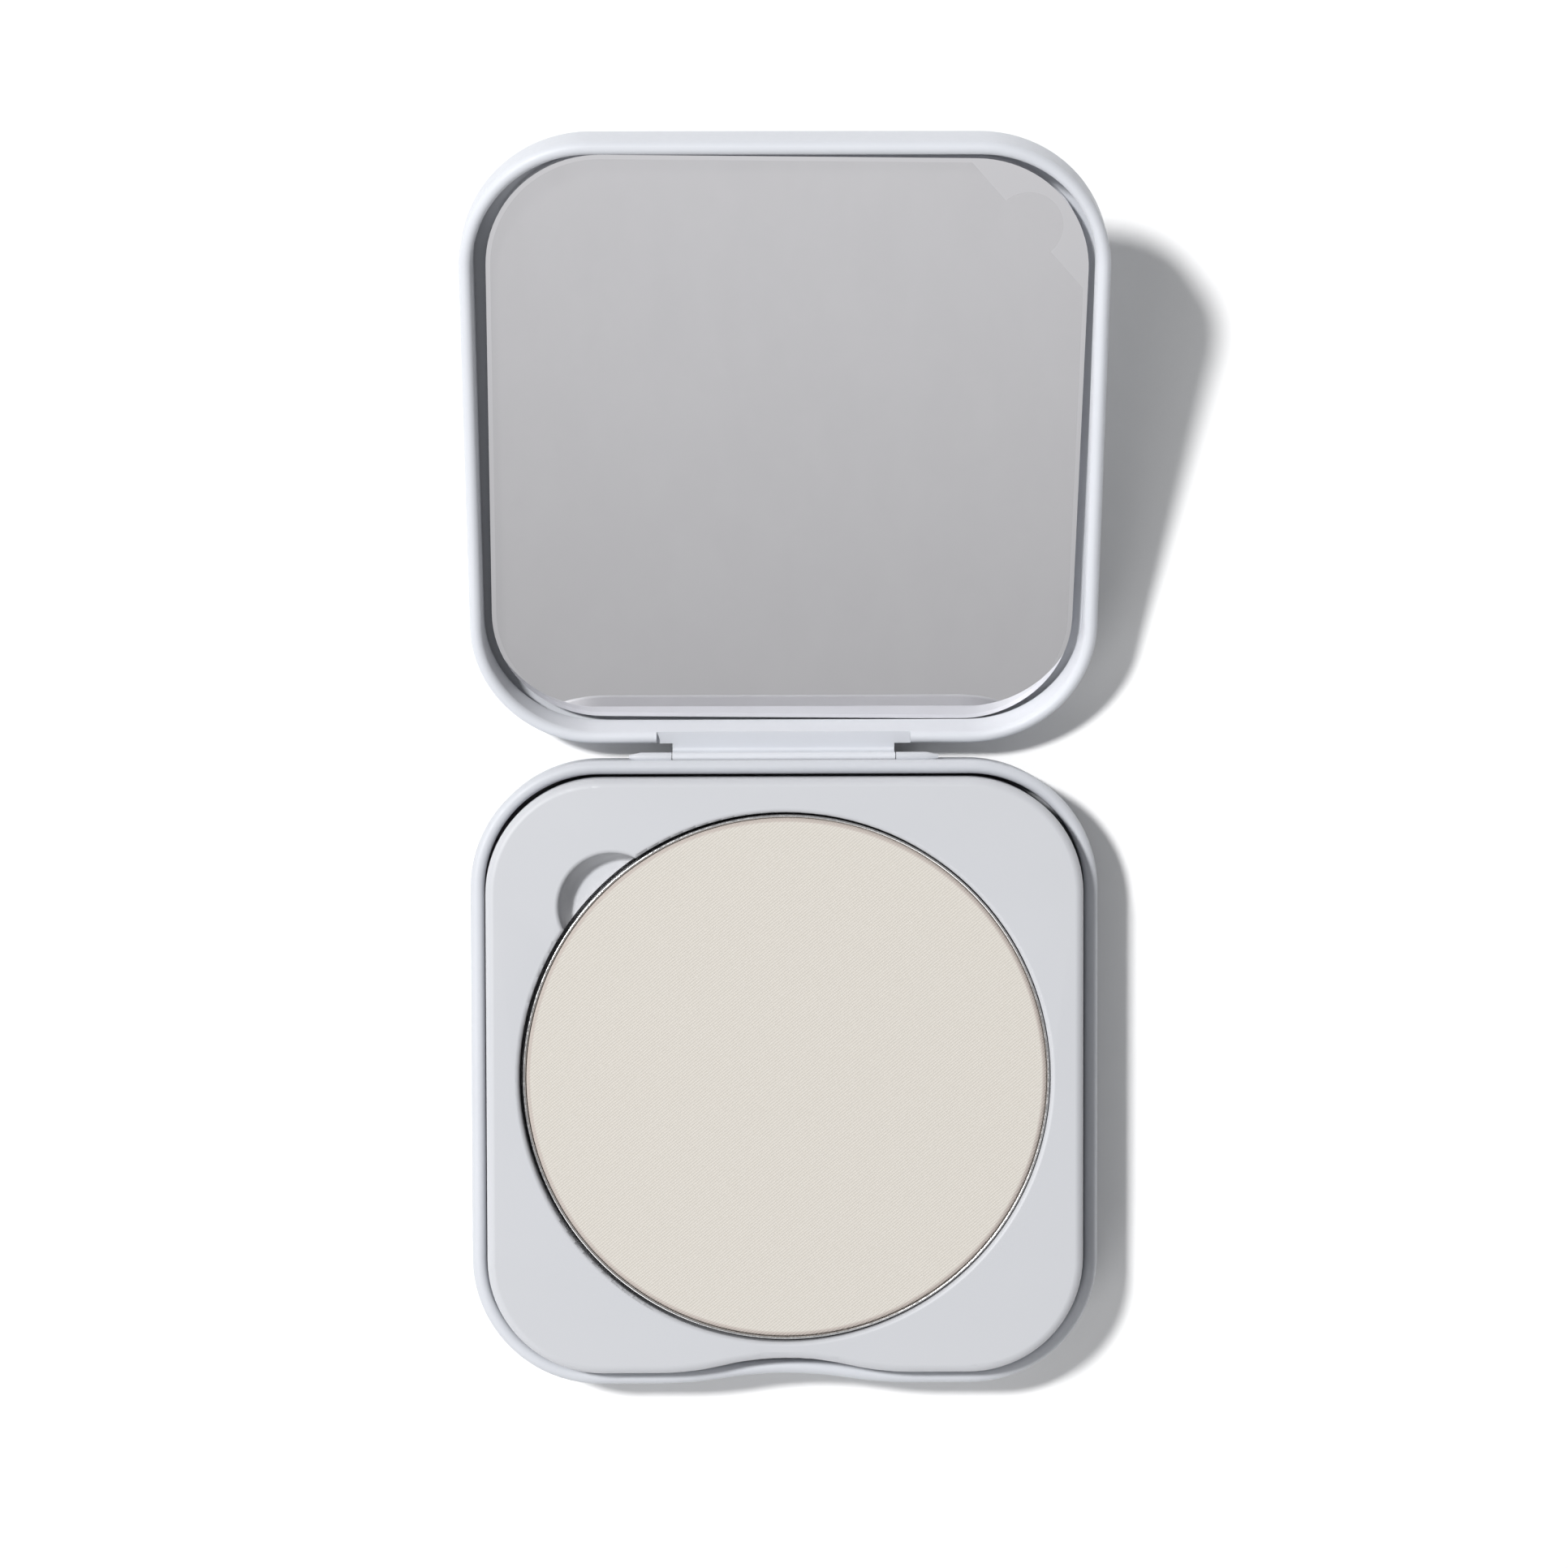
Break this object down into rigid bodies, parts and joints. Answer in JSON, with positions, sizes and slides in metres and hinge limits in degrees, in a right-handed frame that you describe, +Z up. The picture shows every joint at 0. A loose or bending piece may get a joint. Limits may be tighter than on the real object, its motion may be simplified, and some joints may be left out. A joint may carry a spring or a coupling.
{
  "type": "powder compact",
  "caption": "Square pressed-tin powder compact with rounded corners, open mirror lid on a wire hinge, and a round refill pan of pressed powder in a raised tray.",
  "frame": {"origin": "centre of the flat underside of the base, where the compact rests on a table", "axes": "+Z up out of the base, +Y towards the hinge and the open lid, -Y towards the wave in the front edge, +X to the right when seen from above with the lid at the top"},
  "size_m": [0.0706, 0.1387, 0.0317],
  "materials": {
    "base_lacquer": "matte lacquer on tinplate",
    "lid_lacquer": "matte lacquer on tinplate",
    "pin_wire": "drawn steel wire",
    "tray_plastic": "satin moulded plastic",
    "tape": "matte double-sided tape",
    "magnet": "nickel-plated magnet",
    "glue": "set clear glue",
    "pan_tin": "bare tinplate",
    "powder": "pressed powder with a twill imprint",
    "foam_tape": "foam tape",
    "mirror_glass": "silvered glass",
    "film": "clear protective film"
  },
  "bodies": {
    "base": {"base_shell": "base_lacquer", "hinge_pin": "pin_wire", "insert_tray": "tray_plastic", "insert_adhesive": "tape", "pan_magnet": "magnet", "magnet_adhesive": "glue"},
    "lid": {"lid_shell": "lid_lacquer", "mirror_adhesive": "foam_tape", "mirror_glass": "mirror_glass", "mirror_film": "film"},
    "pan": {"refill_pan": "pan_tin", "powder_cake": "powder"}
  },
  "joints": [
    {"name": "lid_hinge", "type": "hinge", "parent": "base", "child": "lid", "pos_m": [0, 0.0356, 0.00675], "axis": [-1, 0, 0], "range_deg": [-157.5, 0]},
    {"name": "pan_lift", "type": "slide", "parent": "base", "child": "pan", "axis": [0, 0, 1], "range_m": [0, 0.016]}
  ]
}
